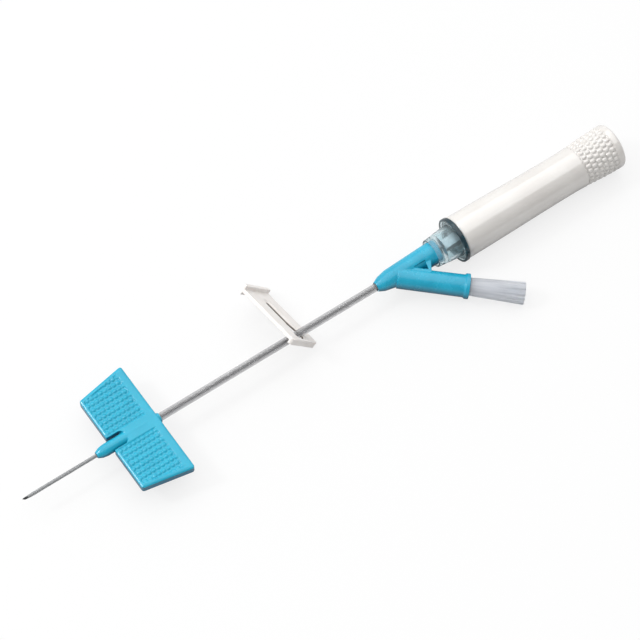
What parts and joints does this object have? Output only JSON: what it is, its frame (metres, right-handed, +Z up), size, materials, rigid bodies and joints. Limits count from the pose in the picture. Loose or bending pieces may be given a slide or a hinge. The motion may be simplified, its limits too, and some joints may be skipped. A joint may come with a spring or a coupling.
{
  "type": "winged intravenous cannula set",
  "caption": "Winged intravenous cannula with its needle, extension tube, slide clamp, Y adapter, vent plug, clear needle shield and pull barrel.",
  "frame": {"origin": "on the needle's axis at the front face of the winged hub, where the catheter comes out", "axes": "+X along the needle from its point to the barrel, +Y across the wings, +Z up with the wings level"},
  "size_m": [0.1733, 0.0397, 0.0121],
  "materials": {
    "steel": "satin",
    "catheter_plastic": "glossy",
    "hub_blue": "satin",
    "adapter_blue": "glossy",
    "clear_tube": "glossy",
    "clamp_white": "satin",
    "seal_rubber": "matte",
    "frosted_plug": "frosted",
    "vent_membrane": "matte",
    "clear_shield": "glossy",
    "barrel_white": "glossy",
    "anchor_plastic": "satin"
  },
  "bodies": {
    "cannula": {"catheter_tube": "catheter_plastic", "catheter_wedge": "steel", "wing_hub": "hub_blue", "extension_tube": "clear_tube", "y_adapter": "adapter_blue", "port_septum": "seal_rubber"},
    "clamp": {"slide_clamp": "clamp_white"},
    "plug": {"vent_plug": "frosted_plug", "vent_filter": "vent_membrane"},
    "shield": {"inner_shield": "clear_shield", "shield_clip": "steel"},
    "handle": {"needle": "steel", "needle_anchor": "anchor_plastic", "outer_barrel": "barrel_white"}
  },
  "joints": [
    {"name": "clamp_pinch", "type": "slide", "parent": "cannula", "child": "clamp", "axis": [0.1115, -0.9938, 0], "range_m": [0, 0.0101], "deforming": ["extension_tube"]},
    {"name": "vent_plug_pull", "type": "slide", "parent": "cannula", "child": "plug", "axis": [0.766, -0.6354, -0.0972], "range_m": [0, 0.01]},
    {"name": "shield_pull_off", "type": "slide", "parent": "cannula", "child": "shield", "axis": [1, 0, 0], "range_m": [0, 0.008]},
    {"name": "needle_pull", "type": "slide", "parent": "shield", "child": "handle", "axis": [1, 0, 0], "range_m": [0, 0.123]}
  ]
}
